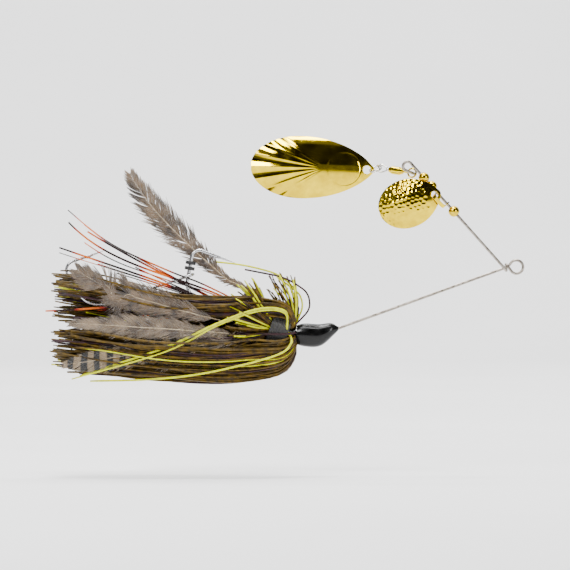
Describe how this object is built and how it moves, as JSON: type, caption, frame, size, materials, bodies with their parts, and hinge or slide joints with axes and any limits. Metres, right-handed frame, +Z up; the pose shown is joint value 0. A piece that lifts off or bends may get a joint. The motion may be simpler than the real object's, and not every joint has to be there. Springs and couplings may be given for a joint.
{
  "type": "spinnerbait fishing lure",
  "caption": "Tandem spinnerbait: bent wire with line tie, lead head and hook, trailing stinger hook, strand and feather skirt, small blade on a clevis and big blade on a barrel swivel.",
  "frame": {"origin": "centre of the line-tie eye", "axes": "+X the way the lure swims, +Z up, +Y the far side, square to the plane of the wire and the main hook"},
  "size_m": [0.2077, 0.0292, 0.1073],
  "materials": {
    "spring_wire": "satin",
    "head_paint": "gloss",
    "hook_steel": "satin",
    "tying_thread": "satin",
    "keeper_rubber": "matte",
    "bead_brass": "polished",
    "gold_plate": "polished",
    "swivel_steel": "polished",
    "skirt_dark": "satin",
    "skirt_yellow": "satin",
    "skirt_olive": "satin",
    "feather_vane": "matte",
    "flash_foil": "gloss"
  },
  "bodies": {
    "lure": {"wire_form": "spring_wire", "head": "head_paint", "main_hook": "hook_steel", "thread_wrap": "tying_thread", "keeper_lower": "keeper_rubber", "keeper_upper": "keeper_rubber", "stop_bead": "bead_brass", "skirt_lock_01": "skirt_olive", "skirt_lock_02": "skirt_olive", "skirt_lock_03": "skirt_olive", "skirt_lock_04": "skirt_olive", "skirt_lock_05": "skirt_olive", "skirt_lock_06": "skirt_olive", "skirt_lock_07": "skirt_olive", "skirt_lock_08": "skirt_olive", "skirt_lock_09": "skirt_olive", "skirt_lock_10": "skirt_olive", "strand_dark": "skirt_dark", "strand_yellow": "skirt_yellow", "strand_top": "skirt_yellow", "feather_upright": "feather_vane", "feather_large": "feather_vane", "feather_middle": "feather_vane", "feather_barred": "feather_vane", "feather_fluff": "feather_vane", "flash_01": "flash_foil", "flash_02": "flash_foil", "flash_03": "flash_foil", "flash_04": "flash_foil", "flash_05": "flash_foil"},
    "bead_1": {"bead_upper": "bead_brass"},
    "bead_2": {"bead_lower": "bead_brass"},
    "clevis_body": {"clevis": "gold_plate"},
    "small_spoon": {"small_blade": "gold_plate"},
    "front_eye": {"swivel_front_eye": "gold_plate"},
    "barrel": {"swivel_barrel": "gold_plate"},
    "rear_eye": {"swivel_rear_eye": "swivel_steel"},
    "ring": {"split_ring": "swivel_steel"},
    "big_spoon": {"big_blade": "gold_plate"},
    "stinger": {"stinger_hook": "hook_steel"}
  },
  "joints": [
    {"name": "bead_1_spin", "type": "hinge", "parent": "lure", "child": "bead_1", "pos_m": [-0.04012, -0.00126, 0.03862], "axis": [-0.6652, 0, 0.7466], "continuous": true},
    {"name": "bead_2_spin", "type": "hinge", "parent": "lure", "child": "bead_2", "pos_m": [-0.03686, -0.00126, 0.03495], "axis": [-0.6652, 0, 0.7466], "continuous": true},
    {"name": "clevis_spin", "type": "hinge", "parent": "lure", "child": "clevis_body", "pos_m": [-0.03227, -0.00126, 0.02981], "axis": [-0.6652, 0, 0.7466], "continuous": true},
    {"name": "small_blade_swing", "type": "hinge", "parent": "clevis_body", "child": "small_spoon", "pos_m": [-0.0356, -0.00502, 0.03126], "axis": [-0.2797, -0.9272, -0.2492], "range_deg": [-25, 30]},
    {"name": "swivel_swing", "type": "hinge", "parent": "lure", "child": "front_eye", "pos_m": [-0.0452, 0.00132, 0.04085], "axis": [0.8101, 0.5, -0.3061], "range_deg": [-25, 75]},
    {"name": "barrel_spin", "type": "hinge", "parent": "front_eye", "child": "barrel", "pos_m": [-0.052, 0.00453, 0.04194], "axis": [-0.8949, 0.4226, 0.1433], "continuous": true},
    {"name": "rear_eye_spin", "type": "hinge", "parent": "barrel", "child": "rear_eye", "pos_m": [-0.05594, 0.00639, 0.04257], "axis": [-0.8949, 0.4226, 0.1433], "continuous": true},
    {"name": "split_ring_swing", "type": "hinge", "parent": "rear_eye", "child": "ring", "pos_m": [-0.05943, 0.00804, 0.04313], "axis": [0.1582, 0, 0.9874], "range_deg": [-25, 30]},
    {"name": "big_blade_swing", "type": "hinge", "parent": "ring", "child": "big_spoon", "pos_m": [-0.06355, 0.00864, 0.04215], "axis": [0.0382, 0.9175, 0.3959], "range_deg": [-30, 25]},
    {"name": "stinger_swing", "type": "hinge", "parent": "lure", "child": "stinger", "pos_m": [-0.14234, 0, -0.00395], "axis": [0, 1, 0], "range_deg": [-15, 40]}
  ]
}
